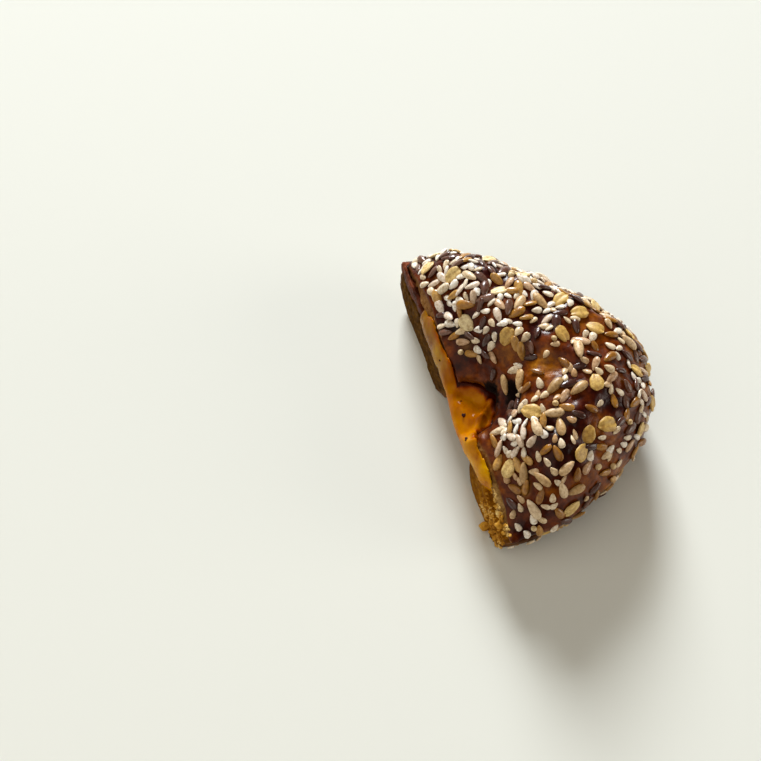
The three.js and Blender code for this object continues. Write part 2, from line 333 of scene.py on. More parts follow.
# The two breads
bread = {
    "sectionSteps": 120,
    "ringSteps": 220,
    "spinRadius": 200.0,  # the section is spun this far out, so that its inner side never crosses the axis
    "voxel": 0.6,
    "smoothing": 2,
    "crumbFrom": 0.5,  # depth under the crust at which the crumb begins, and where it is all crumb
    "crumbFull": 1.7,
    "poreDepth": 0.9,
    "blisters": 0.28,
    "freckles": [(0.35, "#a8947c"), (0.62, "#ffffff")],
    # painted shade: the near-black colour round the crown's pits
    "pitShadeColour": "#120300",
}
breadLook = {
    "crown": {
        "crust": [
            (0.3, "#200500"), (0.44, "#440f01"), (0.58, "#743202"), (0.71, "#985604"), (0.85, "#b87c20"),
        ],
        # painted light and shade: the first crumb ramp is lit, for the near end of the cut, the second
        # shaded, for the far end
        "crumb": [(0.3, "#5e3c10"), (0.5, "#906830"), (0.72, "#c09a60")],
        "shadedFarCrumb": [(0.3, "#663c16"), (0.5, "#8e6030"), (0.72, "#b88850")],
        "roughness": 0.28,
        "shine": 0.18,
    },
    "base": {
        "crust": [(0.26, "#2c1201"), (0.42, "#552c04"), (0.6, "#7d4c10"), (0.76, "#9b6a20")],
        # painted light and shade: the first crumb ramp is lit, for the near end of the cut, the second
        # shaded, for the far end
        "crumb": [(0.3, "#6a3a02"), (0.5, "#945c06"), (0.72, "#bc8220")],
        "shadedFarCrumb": [(0.3, "#321c04"), (0.5, "#56360a"), (0.72, "#845a1a")],
        "roughness": 0.5,
        "shine": 0.07,
    },
}


def breadMaterial(name, look):
    material, tree, shader = newMaterial(name, look["roughness"], Specular_IOR_Level=look["shine"])
    crumbShare = attributeOf(tree, "crumb")
    # the crust's tone holds real bare patches, painted light by the rim and painted shade in two places
    bakeLightShade = combined(tree, objectNoise(tree, 60, 5, 0.6), attributeOf(tree, "bareLitShaded"))
    fine = objectNoise(tree, 420, 5, 0.6)
    crust = ramp(tree, bakeLightShade, look["crust"])
    crust = mixColours(tree, 1.0, crust, ramp(tree, fine, bread["freckles"]), "MULTIPLY")
    # painted shade round the crown's pits
    crust = mixColours(tree, attributeOf(tree, "pitShade"), crust, colourOf(bread["pitShadeColour"]))
    grain = objectNoise(tree, 260, 6, 0.7)
    # painted shade at the far end of the cut, painted light at the near end
    litNearEnd = mapRange(tree, alongCut(tree), 0.0, -0.036, 0, 1)
    crumb = mixColours(tree, litNearEnd, ramp(tree, grain, look["shadedFarCrumb"]), ramp(tree, grain, look["crumb"]))
    colour = mixColours(tree, crumbShare, crust, crumb)
    tree.links.new(colour, shader.inputs["Base Color"])
    dull = combined(tree, crumbShare, attributeOf(tree, "pitShade"), "MAXIMUM")
    tree.links.new(mapRange(tree, dull, 0, 1, look["roughness"], 0.85), shader.inputs["Roughness"])
    blisters = combined(tree, objectNoise(tree, 300, 4, 0.55), 0.6, "MULTIPLY")
    pores = combined(tree, objectCells(tree, 700), crumbShare, "MULTIPLY")
    bump(tree, shader, combined(tree, blisters, pores), 0.0006, 0.7)
    return material


# Deep pits in the crown round the inner end of the hole, and how far round each one painted shade darkens the
# crust
crownDents = [
    {"place": Vector((3.1, 2.0, 21.6)), "radius": 3.0, "depth": 3.6, "dark": 4.6},
    {"place": Vector((3.7, -1.4, 19.8)), "radius": 2.8, "depth": 2.6, "dark": 4.7},
    {"place": Vector((6.9, -4.2, 28.5)), "radius": 3.1, "depth": 4.6, "dark": 4.5},
    {"place": Vector((6.4, -7.0, 27.6)), "radius": 2.9, "depth": 3.8, "dark": 4.4},
    {"place": Vector((-3.2, -12.2, 20.4)), "radius": 1.9, "depth": 1.6, "dark": 2.4},
]


def dentDepth(place):
    return sum(
        dent["depth"] * smoothStep(dent["radius"], 0, (place - dent["place"]).length) for dent in crownDents
    )


# Where the crust is paler and barer than elsewhere, and, with a negative share, where painted shade darkens
# it: place, radius and how much
bareAndShadedPlaces = [
    (Vector((17.9, -2.4, 35.4)), 8.0, 0.22),
    (Vector((9.0, 8.0, 30.0)), 7.0, 0.14),
    (Vector((27.2, -25.0, 34.2)), 7.0, 0.16),
    (Vector((15.6, -40.1, 25.8)), 7.0, 0.14),
    (Vector((38.0, 8.0, 33.0)), 8.0, 0.12),
    # painted shade: the far limb by the cut and the near limb by the notch
    (Vector((1.0, 24.0, 25.0)), 9.0, -0.16),
    (Vector((3.0, -18.0, 24.0)), 9.0, -0.14),
]


def bareAndShadeAt(place):
    return sum(
        share * smoothStep(radius, 0.3 * radius, (place - centre).length)
        for centre, radius, share in bareAndShadedPlaces
    )


# How far the knife dragged the crown's lower edge out over the cheese
def tornLip(y):
    return 1.5 * smoothStep(-11, -17, y) + 0.8 * smoothStep(33, 36, y) * smoothStep(46, 42, y)


# How far the base stands out at the near end of the cut, where the knife turned
def baseFoot(y, z):
    return (1.5 - 0.04 * z) * smoothStep(-10, -23, y)


# How far the hole's wall was squeezed inwards, low down
def squeezedIn(x, y):
    angle = math.atan2(y, x)
    most = 2.0 + 1.7 * math.exp(-(((angle + 1.35) / 0.5) ** 2))
    return most * smoothStep(2.3, 1.8, abs(angle))


def wallRadius(x, y):
    angle = math.atan2(y, x)
    return ringLine(angle) - crownSection["halfWidth"] * ringWidth(angle)


def squeezedPlace(place):
    radius = math.hypot(place.x, place.y)
    gone = smoothStep(6.5, 0.0, radius - wallRadius(place.x, place.y)) * smoothStep(27.0, 20.0, place.z)
    share = 1 - squeezedIn(place.x, place.y) * gone / radius
    return Vector((place.x * share, place.y * share, place.z))


for dent in crownDents:
    dent["place"] = squeezedPlace(dent["place"])


def crustDetail(place):
    return bread["blisters"] * (
        0.8 * noise.noise(place * 0.22) + 0.5 * noise.noise(place * 0.55 + Vector((7, 3, 1)))
    )


# One bread: a section spun round, shaped as the ring, and cut by the knife
def sliceOfRing(section, lowest, highest, knife, isCrown):
    bm = bmesh.new()
    bmesh.ops.create_circle(bm, segments=bread["sectionSteps"], radius=1)
    for vert in bm.verts:
        across, up = sectionPoint(section, math.atan2(vert.co.y, vert.co.x))
        vert.co = (bread["spinRadius"] + across, 0, min(highest, max(lowest, up)))
    bmesh.ops.spin(
        bm, geom=bm.verts[:] + bm.edges[:], cent=(0, 0, 0), axis=(0, 0, 1),
        angle=2 * math.pi, steps=bread["ringSteps"], use_merge=True,
    )
    for vert in bm.verts:
        across = vert.co.xy.length - bread["spinRadius"]
        vert.co = ringPoint(math.atan2(vert.co.y, vert.co.x), across, vert.co.z, isCrown)
        vert.co.x -= knifeFace(knife, vert.co.y, vert.co.z)
    allOfIt = bm.verts[:] + bm.edges[:] + bm.faces[:]
    bmesh.ops.bisect_plane(bm, geom=allOfIt, plane_co=(0, 0, 0), plane_no=(1, 0, 0), clear_inner=True)
    bmesh.ops.holes_fill(bm, edges=[edge for edge in bm.edges if edge.is_boundary], sides=0)
    for vert in bm.verts:
        vert.co.x += knifeFace(knife, vert.co.y, vert.co.z)
    bmesh.ops.recalc_face_normals(bm, faces=bm.faces)
    return bm


# Squeezes a point of the crown in by the hole, marks how bare it is together with painted light and shade,
# marks the painted shade round the pits, and drags the torn lip out
def finishCrownPoint(vert, bareLitShadedLayer, pitShadeLayer):
    vert.co = squeezedPlace(vert.co)
    byHole = smoothStep(15, 9, math.hypot(vert.co.x + 3, vert.co.y)) * smoothStep(27, 20, vert.co.z)
    # painted light: the crust is lightened towards the outer rim, away from the far end
    litRim = smoothStep(34, 50, vert.co.xy.length) * smoothStep(30, 12, vert.co.y)
    vert[bareLitShadedLayer] = bareAndShadeAt(vert.co) + 0.12 * byHole + 0.09 * litRim
    uneven = 0.25 * noise.noise(vert.co * 0.9)
    # painted shade: how dark the crust is painted round the nearest pit
    nearest = min((vert.co - dent["place"]).length / dent["dark"] for dent in crownDents) + uneven
    vert[pitShadeLayer] = smoothStep(1.0, 0.72, nearest)
    bottom = bagel["crownSlice"] - crownSunk(vert.co.x, vert.co.y, 0)
    inFromCut = vert.co.x - knifeFace(crownKnife, vert.co.y, vert.co.z)
    low = smoothStep(5.0, 0.0, vert.co.z - bottom)
    vert.co.x -= tornLip(vert.co.y) * low * smoothStep(6.0, 0.0, inFromCut)


def breadPiece(name, nodeName, section, lowest, highest, knife, isCrown, material):
    bm = remeshed(sliceOfRing(section, lowest, highest, knife, isCrown), bread["voxel"])
    smoothOut(bm, bread["smoothing"])
    crumbLayer = bm.verts.layers.float.new("crumb")
    bareLitShadedLayer = bm.verts.layers.float.new("bareLitShaded")
    pitShadeLayer = bm.verts.layers.float.new("pitShade")
    for vert in bm.verts:
        depth = crustDepth(section, vert.co, isCrown)
        vert[crumbLayer] = smoothStep(bread["crumbFrom"], bread["crumbFull"], depth)
        if isCrown:
            finishCrownPoint(vert, bareLitShadedLayer, pitShadeLayer)
        else:
            inFromCut = vert.co.x - knifeFace(baseKnife, vert.co.y, vert.co.z)
            vert.co.x -= baseFoot(vert.co.y, vert.co.z) * smoothStep(8.0, 0.0, inFromCut)

    def roughness(vert):
        crumb = vert[crumbLayer]
        lump = (1 - crumb) * crustDetail(vert.co)
        distances, _ = noise.voronoi(vert.co * 0.5)
        pore = bread["poreDepth"] * smoothStep(0.42, 0.12, distances[0]) + 0.25 * noise.noise(vert.co * 0.9)
        lump -= crumb * pore
        if isCrown:
            lump -= dentDepth(vert.co)
        elif vert.co.z < 0.5:
            lump = 0.0
        return lump

    pushAlongNormals(bm, roughness)
    if not isCrown:
        for vert in bm.verts:
            vert.co.z = max(0.0, vert.co.z)
    piece = placePiece(bm, name, material)
    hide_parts(nodeName)


crownMaterial = breadMaterial("glossyCrust", breadLook["crown"])
baseMaterial = breadMaterial("dryCrust", breadLook["base"])
breadPiece("crownLoaf", "crown_bread", crownSection, bagel["crownSlice"], 60, crownKnife, True, crownMaterial)
breadPiece("baseLoaf", "base_bread", baseSection, 0, bagel["baseSlice"], baseKnife, False, baseMaterial)

# The ham: the frame's own slice, with a softer and grainier skin, and colours darkened by painted shade
ham = {
    "voxel": 0.4, "smoothing": 3, "grain": 0.3,
    # painted shade: the ham's colours are darkened to the shade it lies in between the breads
    "colours": [(0.3, "#300f01"), (0.5, "#5a2304"), (0.7, "#904212")],
    "from": math.radians(-30), "to": math.radians(112),  # where the slice lies, as the frame has it
    "inner": 15.6, "thickness": 2.1, "fold": 2.1, "lift": 0.9,
    "roughness": 0.45, "shine": 0.1,
}
hamMaterial, hamTree, hamShader = newMaterial("moistHam", ham["roughness"], Specular_IOR_Level=ham["shine"])
# painted shade in the ham's colour
shadedHamColour = ramp(hamTree, objectNoise(hamTree, 130, 5, 0.65), ham["colours"])
hamTree.links.new(shadedHamColour, hamShader.inputs["Base Color"])
bump(hamTree, hamShader, objectNoise(hamTree, 420, 6, 0.7), 0.0007, 0.9)
bm = remeshed(nodeCopy("ham_slice"), ham["voxel"])
smoothOut(bm, ham["smoothing"])
pushAlongNormals(
    bm, lambda vert: ham["grain"] * (noise.noise(vert.co * 0.5) + 0.6 * noise.noise(vert.co * 1.3)),
)
hamPiece = placePiece(bm, "hamSlice", hamMaterial)
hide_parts("ham_slice")

# The cheese: one melted slab between the breads, thin over the hole, hanging out past the cut
cheese = {
    "middle": 16.25, "from": -43.0, "to": 56.0,
    "alongSteps": 300, "inwardSteps": 100,
    "noseDepth": 3.4, "halfThickness": 5.6, "thinned": 0.52, "sagged": 1.2, "noseDroop": 1.0,
    "ripples": 0.32,
    "climb": 1.2,  # up the wall of the hole
    "smear": 1.8,  # over the crown's cut face, on the far side of the hole
    "gap": 0.15,  # kept between the cheese and what it touches
    "folds": [  # soft ridges in the hole: start, end, height, width
        ((1.2, -1.0), (-4.3, -5.5), 2.0, 1.3),
        ((-3.4, -5.8), (-8.2, -10.6), 2.0, 1.35),
        ((-8.9, 6.4), (-10.3, 1.0), 0.7, 1.0),
        ((-9.2, -14.0), (-11.2, -26.0), 0.8, 1.3),
    ],
    "colours": [(0.3, "#984a00"), (0.45, "#ba6800"), (0.6, "#d08400"), (0.75, "#dea004")],
    # painted light: brighter cheese at the near end of the cut
    "litNearColours": [(0.3, "#ae6200"), (0.45, "#d28c00"), (0.6, "#e6a802"), (0.75, "#f4c010")],
    # painted shade: darker cheese at the far end of the cut
    "shadedFarColours": [(0.3, "#804a00"), (0.45, "#9c6600"), (0.6, "#b48000"), (0.75, "#c89c04")],
    "glazeAndShadeEdge": "#9c4200",  # dark glaze and painted shade by the hole's wall, painted shade under the crown
    # painted shade, darkest, where the cheese meets the hole's wall and runs under the crown
    "glazeAndShadeMiddle": "#380a01",
    "roughness": 0.14, "shine": 0.06,
    "glow": 0.12, "glowReach": (1.0, 0.4, 0.04), "glowDepth": 0.002,
}


def hamTop(x, y):
    wave = 0.45 * math.sin(0.3 * x + 0.2 * y) + 0.35 * math.sin(0.42 * y - 0.2 * x + 1)
    folded = ham["fold"] * smoothStep(36, 43, y)
    return bagel["baseSlice"] + ham["lift"] + wave + ham["thickness"] + folded


# How far the cheese hangs out past the base's cut face
def cheeseLip(y):
    swell = 0.9 + 2.6 * smoothStep(40, -25, y) + 0.25 * math.sin(0.23 * y + 0.6)
    drip = 0.4 * math.exp(-(((y + 20) / 6) ** 2)) - 1.1 * smoothStep(-10, -20, y)
    return swell + drip - 15 * smoothStep(38, 46, y) - 7 * smoothStep(23, 39, -y)


def cheeseEdge(angle):
    return outerEdge(angle) - 3 - 1.3 * math.sin(5 * angle + 0.4) - 0.8 * math.sin(9 * angle)


def cheeseBack(y):
    low, high = -math.pi / 2, math.pi / 2
    for _ in range(24):
        angle = (low + high) / 2
        if cheeseEdge(angle) * math.sin(angle) < y:
            low = angle
        else:
            high = angle
    return max(0, cheeseEdge(low) * math.cos(low))


# The room that the breads and the ham leave the cheese at a place: its floor and its ceiling
def cheeseRoom(x, y):
    angle = math.atan2(y, x)
    radius = math.hypot(x, y)
    across = (radius - ringLine(angle)) / ringWidth(angle)
    floorHeight, ceiling = -100.0, 100.0
    crownFace = knifeFace(crownKnife, y, bagel["crownSlice"]) - tornLip(y)
    if radius > wallRadius(x, y) - squeezedIn(x, y) and x > crownFace:
        ceiling = bagel["crownSlice"] - crownSunk(x, y, across)
    if across > -baseSection["halfWidth"] and x > knifeFace(baseKnife, y, bagel["baseSlice"]):
        floorHeight = bagel["baseSlice"]
        if ham["from"] < angle < ham["to"] and radius > ham["inner"]:
            floorHeight = hamTop(x, y)
    return floorHeight + cheese["gap"], ceiling - cheese["gap"]


# 1 on the line from start to end, and falling away over the width beside it
def nearnessTo(x, y, start, end, width):
    line = Vector(end) - Vector(start)
    share = min(1.0, max(0.0, (Vector((x, y)) - Vector(start)).dot(line) / line.length_squared))
    away = (Vector((x, y)) - Vector(start) - line * share).length
    return math.exp(-((away / width) ** 2))


# Where the cheese spans the hole, it is thinner and has sagged
def overHole(x, y):
    return 1 - smoothStep(0.8, 1.3, math.hypot((x + 5) / 11, y / 11.5))


# The height of the cheese's upper and lower skin at a place
def cheeseHeights(x, y, front, back):
    inFromNose = min(1.0, (x - front) / cheese["noseDepth"])
    inFromBack = 1 - min(1.0, (back - x) / 4)
    hole = overHole(x, y)
    full = cheese["halfThickness"] * (1 - cheese["thinned"] * hole)
    thick = full * math.sqrt(max(0.0, 1 - (1 - inFromNose) ** 2)) - 3 * inFromBack ** 2
    middle = cheese["middle"] + 0.3 * math.sin(0.37 * y + 0.5 * x) - cheese["noseDroop"] * (1 - inFromNose)
    middle -= cheese["sagged"] * hole
    lump = 0.25 * hole * math.sin(0.6 * x + 0.5 * y)
    ripple = cheese["ripples"] * inFromNose
    upper = middle + thick + lump + ripple * noise.noise(Vector((x * 0.33, y * 0.28, 1.7)))
    upper += 0.4 * ripple * noise.noise(Vector((x * 0.9, y * 0.8, 5.2)))
    lower = middle - thick + ripple * noise.noise(Vector((x * 0.33, y * 0.28, 8.1)))
    wall = wallRadius(x, y) - squeezedIn(x, y) - math.hypot(x, y)
    if x > -6:
        upper += cheese["climb"] * smoothStep(3.2, 0.0, wall) * hole
    inFromCut = x - knifeFace(crownKnife, y, 21)
    smear = cheese["smear"] * smoothStep(-2.4, -0.4, inFromCut)
    upper += smear * smoothStep(36, 32, y) * smoothStep(9, 13, y)
    for start, end, height, width in cheese["folds"]:
        upper += inFromNose * height * nearnessTo(x, y, start, end, width)
    floorHeight, ceiling = cheeseRoom(x, y)
    upper = min(upper, ceiling)
    lower = min(max(lower, floorHeight), upper - 0.1)
    return upper, lower


# Sets a flat double grid in its place: its long side along the cut, its short side from front to back
def placeCheese(bm):
    rows = {}
    for vert in bm.verts:
        rows.setdefault(round(vert.co.x, 5), []).append(vert)
    for along, verts in rows.items():
        y = cheese["from"] + (cheese["to"] - cheese["from"]) * (along + 1) / 2
        back = cheeseBack(y)
        waver = 0.5 * noise.noise(Vector((y * 0.17, 2.2, 0))) + 0.12 * noise.noise(Vector((y * 0.45, 7.2, 0)))
        front = min(knifeFace(baseKnife, y, cheese["middle"]) - cheeseLip(y) + waver, back - 3)
        for vert in verts:
            inwards = (vert.co.y + 1) / 2
            x = front + (back - front) * (0.35 * inwards + 0.65 * smoothStep(0, 1, inwards))
            upper, lower = cheeseHeights(x, y, front, back)
            vert.co = (x, y, upper if vert.co.z > 0.5 else lower)


bm = bmesh.new()
bmesh.ops.create_grid(bm, x_segments=cheese["alongSteps"], y_segments=cheese["inwardSteps"], size=1)
raised = bmesh.ops.extrude_face_region(bm, geom=bm.faces[:])["geom"]
raisedVerts = [item for item in raised if isinstance(item, bmesh.types.BMVert)]
bmesh.ops.translate(bm, vec=(0, 0, 1), verts=raisedVerts)
placeCheese(bm)
bmesh.ops.recalc_face_normals(bm, faces=bm.faces)
# the cheese is darkened by the hole's wall, partly a browned glaze and partly painted shade, and by painted
# shade where it runs under the crown's cut face
glazeAndShadeLayer = bm.verts.layers.float.new("glazeAndShade")
for vert in bm.verts:
    x, y, _ = vert.co
    gap = wallRadius(x, y) - squeezedIn(x, y) - math.hypot(x, y)
    patchy = 1.6 * noise.noise(vert.co * 0.4)
    byWall = smoothStep(3.6, 0.0, gap + patchy) if x > -7 else 0.0
    inFromCut = x - knifeFace(crownKnife, y, 20) + patchy
    shadeUnderCrown = smoothStep(-2.0, 0.6, inFromCut) * smoothStep(8.5, 12.5, abs(y))
    vert[glazeAndShadeLayer] = max(byWall, (0.75 if y < 0 else 0.5) * shadeUnderCrown)
cheeseTops = [vert.co.copy() for vert in bm.verts]


def cheeseTopAt(x, y):
    near = (top for top in cheeseTops if math.hypot(top.x - x, top.y - y) < 0.6)
    return max(near, key=lambda top: top.z)


cheeseMaterial, cheeseTree, cheeseShader = newMaterial(
    "meltedCheese", cheese["roughness"], Specular_IOR_Level=cheese["shine"], Subsurface_Weight=cheese["glow"],
    Subsurface_Radius=cheese["glowReach"], Subsurface_Scale=cheese["glowDepth"],
)
cheeseColour = ramp(cheeseTree, objectNoise(cheeseTree, 90, 4, 0.6), cheese["colours"])
# painted light towards the near end of the cut, painted shade towards the far end
litNearColour = ramp(cheeseTree, objectNoise(cheeseTree, 120, 4, 0.6), cheese["litNearColours"])
litNearShare = mapRange(cheeseTree, alongCut(cheeseTree), -0.012, -0.028, 0, 1)
cheeseColour = mixColours(cheeseTree, litNearShare, cheeseColour, litNearColour)
shadedFarColour = ramp(cheeseTree, objectNoise(cheeseTree, 90, 4, 0.6), cheese["shadedFarColours"])
shadedFarShare = mapRange(cheeseTree, alongCut(cheeseTree), 0.0, 0.01, 0, 1)
cheeseColour = mixColours(cheeseTree, shadedFarShare, cheeseColour, shadedFarColour)
# dark glaze and painted shade by the hole's wall, painted shade under the crown
glazeAndShadeShare = attributeOf(cheeseTree, "glazeAndShade")
for low, high, colour in ((0, 0.6, cheese["glazeAndShadeEdge"]), (0.55, 1, cheese["glazeAndShadeMiddle"])):
    share = mapRange(cheeseTree, glazeAndShadeShare, low, high, 0, 1)
    cheeseColour = mixColours(cheeseTree, share, cheeseColour, colourOf(colour))
cheeseTree.links.new(cheeseColour, cheeseShader.inputs["Base Color"])
bump(cheeseTree, cheeseShader, objectNoise(cheeseTree, 260, 3, 0.5), 0.0004, 0.3)
cheesePiece = placePiece(bm, "meltedCheese", cheeseMaterial)
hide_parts("cheese")


# A lump with an uneven skin, stretched by its three factors and turned at random up to the given angle
def addLump(bm, centre, radius, stretch, detail, chance, turn=0.0):
    made = bmesh.ops.create_icosphere(bm, subdivisions=detail, radius=radius)["verts"]
    shift = Vector([chance.uniform(0, 50) for _ in range(3)])
    rolled = Matrix.Rotation(turn * chance.uniform(-1, 1), 3, "X")
    turned = rolled @ Matrix.Rotation(turn * chance.uniform(-1, 1), 3, "Z")
    for vert in made:
        vert.co *= 1 + 0.75 * noise.noise(vert.co / radius * 1.35 + shift)
        vert.co = centre + turned @ Vector([part * factor for part, factor in zip(vert.co, stretch)])


# Pepper specks that lie flat on the cheese
pepper = {
    "seed": 5,
    "flatness": 0.16,
    "specks": [(-8.9, -2.6, 0.75), (-10.9, -11.1, 0.7), (-7.4, 3.4, 0.35), (-9.8, 19.0, 0.4)],  # x, y, radius
    "colours": [(0.35, "#1c0502"), (0.65, "#481202")],
    "roughness": 0.6, "shine": 0.1,
}
bm = bmesh.new()
speckChance = random.Random(pepper["seed"])
for x, y, radius in pepper["specks"]:
    addLump(bm, cheeseTopAt(x, y), radius, (1, 1, pepper["flatness"]), 2, speckChance)
pepperMaterial, pepperTree, pepperShader = newMaterial(
    "pepperSpeck", pepper["roughness"], Specular_IOR_Level=pepper["shine"],
)
pepperColour = ramp(pepperTree, objectNoise(pepperTree, 900), pepper["colours"])
pepperTree.links.new(pepperColour, pepperShader.inputs["Base Color"])
placePiece(bm, "pepperSpecks", pepperMaterial)

# Toasted crumbs at the near end of the cut
crumbs = {
    "seed": 31, "count": 210, "from": -48.0, "to": -28.0, "smallest": 0.3, "largest": 1.0,
    "colours": [(0.3, "#9c5e0c"), (0.5, "#d49a34"), (0.7, "#f6d488")],
    "roughness": 0.7, "shine": 0.12,
    "single": [  # larger crumbs by the near corner: place and radius
        ((-12.3, -35.2, 2.2), 1.4),
        ((-7.5, -45.6, 12.4), 1.1),
        ((-9.2, -43.5, 13.2), 1.0),
        ((-5.1, -43.6, 2.6), 1.3),
        ((-9.8, -40.5, 13.4), 1.5),
        ((-8.6, -38.0, 13.8), 1.2),
    ],
}
bm = bmesh.new()
crumbChance = random.Random(crumbs["seed"])


# One crumb on the cut face, if there is bread behind it
def addCrumb(y, z, radius, chance):
    isCrown = z > bagel["baseSlice"]
    section, knife = (crownSection, crownKnife) if isCrown else (baseSection, baseKnife)
    x = knifeFace(knife, y, z) - (tornLip(y) * 0.6 if isCrown else baseFoot(y, z))
    if crustDepth(section, (x + 1.0, y, z), isCrown) > 0.1:
        stretch = (0.7, chance.uniform(0.6, 2.1), chance.uniform(0.35, 0.9))
        addLump(bm, Vector((x + 0.1 * radius, y, z)), radius, stretch, 2, chance, 1.2)


for _ in range(crumbs["count"]):
    y, z = crumbChance.uniform(crumbs["from"], crumbs["to"]), crumbChance.uniform(3.0, 17.5)
    radius = crumbChance.uniform(crumbs["smallest"], crumbs["largest"]) * crumbChance.uniform(0.6, 1)
    addCrumb(y, z, radius, crumbChance)
for centre, radius in crumbs["single"]:
    addLump(bm, Vector(centre), radius, (1.0, 0.9, 0.75), 3, crumbChance, 0.6)
crumbMaterial, crumbTree, crumbShader = newMaterial(
    "toastedCrumb", crumbs["roughness"], Specular_IOR_Level=crumbs["shine"],
)
crumbColour = ramp(crumbTree, objectNoise(crumbTree, 260, 3), crumbs["colours"])
crumbTree.links.new(crumbColour, crumbShader.inputs["Base Color"])
bump(crumbTree, crumbShader, objectNoise(crumbTree, 1400, 2), 0.0003, 0.6)
placePiece(bm, "toastedCrumbs", crumbMaterial)

# The seeds: the ones that the frame has, at their own places, then the small ones between them.
# A kind's size is half its length, width and thickness
seedKinds = {
    "oatFlake": {"size": (3.2, 2.4, 0.75), "point": 0.1, "around": 18, "along": 12, "groove": 0.7},
    "sunflowerKernel": {"size": (3.5, 1.55, 1.05), "point": 0.3, "around": 8, "along": 8, "groove": 0.0},
    "flaxSeed": {"size": (2.65, 1.25, 0.6), "point": 0.32, "around": 8, "along": 6, "groove": 0.0},
    "sesameSeed": {"size": (1.6, 1.0, 0.48), "point": 0.42, "around": 8, "along": 6, "groove": 0.0},
    "milletGrain": {"size": (1.0, 0.95, 0.9), "point": 0.0, "around": 8, "along": 6, "groove": 0.0},
}
seedLooks = {
    "oatFlake": ([(0.0, "#c4943a"), (0.5, "#e2bc68"), (1.0, "#f8e8bc")], 0.45),
    "sunflowerKernel": ([(0.0, "#a8824a"), (0.5, "#dcb680"), (1.0, "#f8ead0")], 0.42),
    "darkFlax": ([(0.0, "#32170e"), (0.5, "#56342a"), (1.0, "#84604e")], 0.24),
    # a pale look of flax, partly its own tone and partly painted light
    "paleFlax": ([(0.0, "#a87c54"), (0.5, "#d8b28c"), (1.0, "#faecdc")], 0.28),
    "goldenFlax": ([(0.0, "#7e4a12"), (0.5, "#b07a2a"), (1.0, "#d8ac62")], 0.28),
    "sesameSeed": ([(0.0, "#c4925a"), (0.4, "#ecd4ac"), (0.75, "#fff6e8"), (1.0, "#fffcf6")], 0.33),
    "milletGrain": ([(0.0, "#b88a4c"), (0.5, "#dcbc84"), (1.0, "#f0dcb0")], 0.42),
}
# How the frame's own seeds lie, and the small ones between them, which stick out more
ownLay = {"sway": 1.0, "lift": 0.6, "smallest": 0.9, "largest": 1.06, "farGrowth": 0.0}
smallLay = {"sway": 1.6, "lift": 0.8, "smallest": 0.95, "largest": 1.2, "farGrowth": 0.15}
notch = {"place": Vector((2, -20)), "inner": 6, "outer": 14}
scatterAngle = math.radians(104)
crownScatter = {
    "seed": 20617, "largestArea": 1950, "most": 9000,
    "counts": [("oatFlake", 30), ("sunflowerKernel", 22), ("flaxSeed", 98), ("sesameSeed", 28)],
    "crowding": 1.04,  # how near two seeds may lie, as a share of their reach
    "extraSeed": 911, "extraCrowding": 0.78,
    "extra": [("flaxSeed", 84), ("sesameSeed", 300), ("milletGrain", 10)],
}
baseScatter = {
    "seed": 4409, "largestArea": 1500, "most": 9000,
    "counts": [("oatFlake", 2), ("sunflowerKernel", 2), ("flaxSeed", 8), ("sesameSeed", 2)],
    "crowding": 1.04,
    "extraSeed": 577, "extraCrowding": 0.78,
    "extra": [("flaxSeed", 16), ("sesameSeed", 36), ("milletGrain", 8)],
}


# A small linear congruential generator, the same as the frame's source uses
def seededDraws(seed):
    state = seed
    while True:
        state = (state * 1664525 + 1013904223) % 4294967296
        yield state / 4294967296


# A point of the surface, the way along the ring there, the way out, and how much area a draw stands for
def surfaceFrame(pointAt, angle, turn):
    step = 1e-3
    here = pointAt(angle, turn)
    alongAngle = (pointAt(angle + step, turn) - here) / step
    alongTurn = (pointAt(angle, turn + step) - here) / step
    normal = alongAngle.cross(alongTurn)
    return here, alongAngle.normalized(), normal.normalized(), normal.length


def scatterSeeds(pointAt, turns, counts, firstDraw, clearOf, plan, placed, crowding):
    draw = seededDraws(firstDraw)
    for kind, wanted in counts:
        length, width, _ = seedKinds[kind]["size"]
        reach = math.sqrt(length * width)
        for _ in range(plan["most"]):
            if wanted == 0:
                break
            angle = (next(draw) * 2 - 1) * scatterAngle
            turn = turns[0] + next(draw) * (turns[1] - turns[0])
            weight, spin = next(draw), next(draw) * math.pi
            here, along, normal, area = surfaceFrame(pointAt, angle, turn)
            if weight * plan["largestArea"] > area or not clearOf(here, length):
                continue
            if any((other["here"] - here).length < crowding * (other["reach"] + reach) for other in placed):
                continue
            placed.append({
                "here": here, "along": along, "normal": normal, "reach": reach, "spin": spin, "kind": kind,
            })
            wanted -= 1


def crownClear(here, length):
    x, y, z = here
    sunk = min(bagel["mostSunk"], bagel["rimHang"] + crownDroop(x, y))
    return (
        x > knifeFace(crownKnife, y, z) + 0.75 * length
        and z > bagel["crownSlice"] - sunk + 0.7 * length
        and not (math.hypot(x + 4, y) < 13 and z < 26)
    )


def baseClear(here, length):
    x, y, z = here
    inside = x > knifeFace(baseKnife, y, z) + 0.75 * length
    return inside and 4 < z < bagel["baseSlice"] - 0.75 * length


# 1 at the near side of the notch, where seeds lie thick and painted light makes them paler, and 0 away from
# it
def byNotch(here):
    return smoothStep(notch["outer"], notch["inner"], (here.xy - notch["place"]).length)


# The small seeds lie thickest on the far side and by the notch, and leave the barer crust free
def extraClear(here, length):
    if bareAndShadeAt(here) > 0.05 or not crownClear(here, length):
        return False
    return noise.random() < 0.2 + 0.8 * max(smoothStep(-5, 32, here.y), byNotch(here))


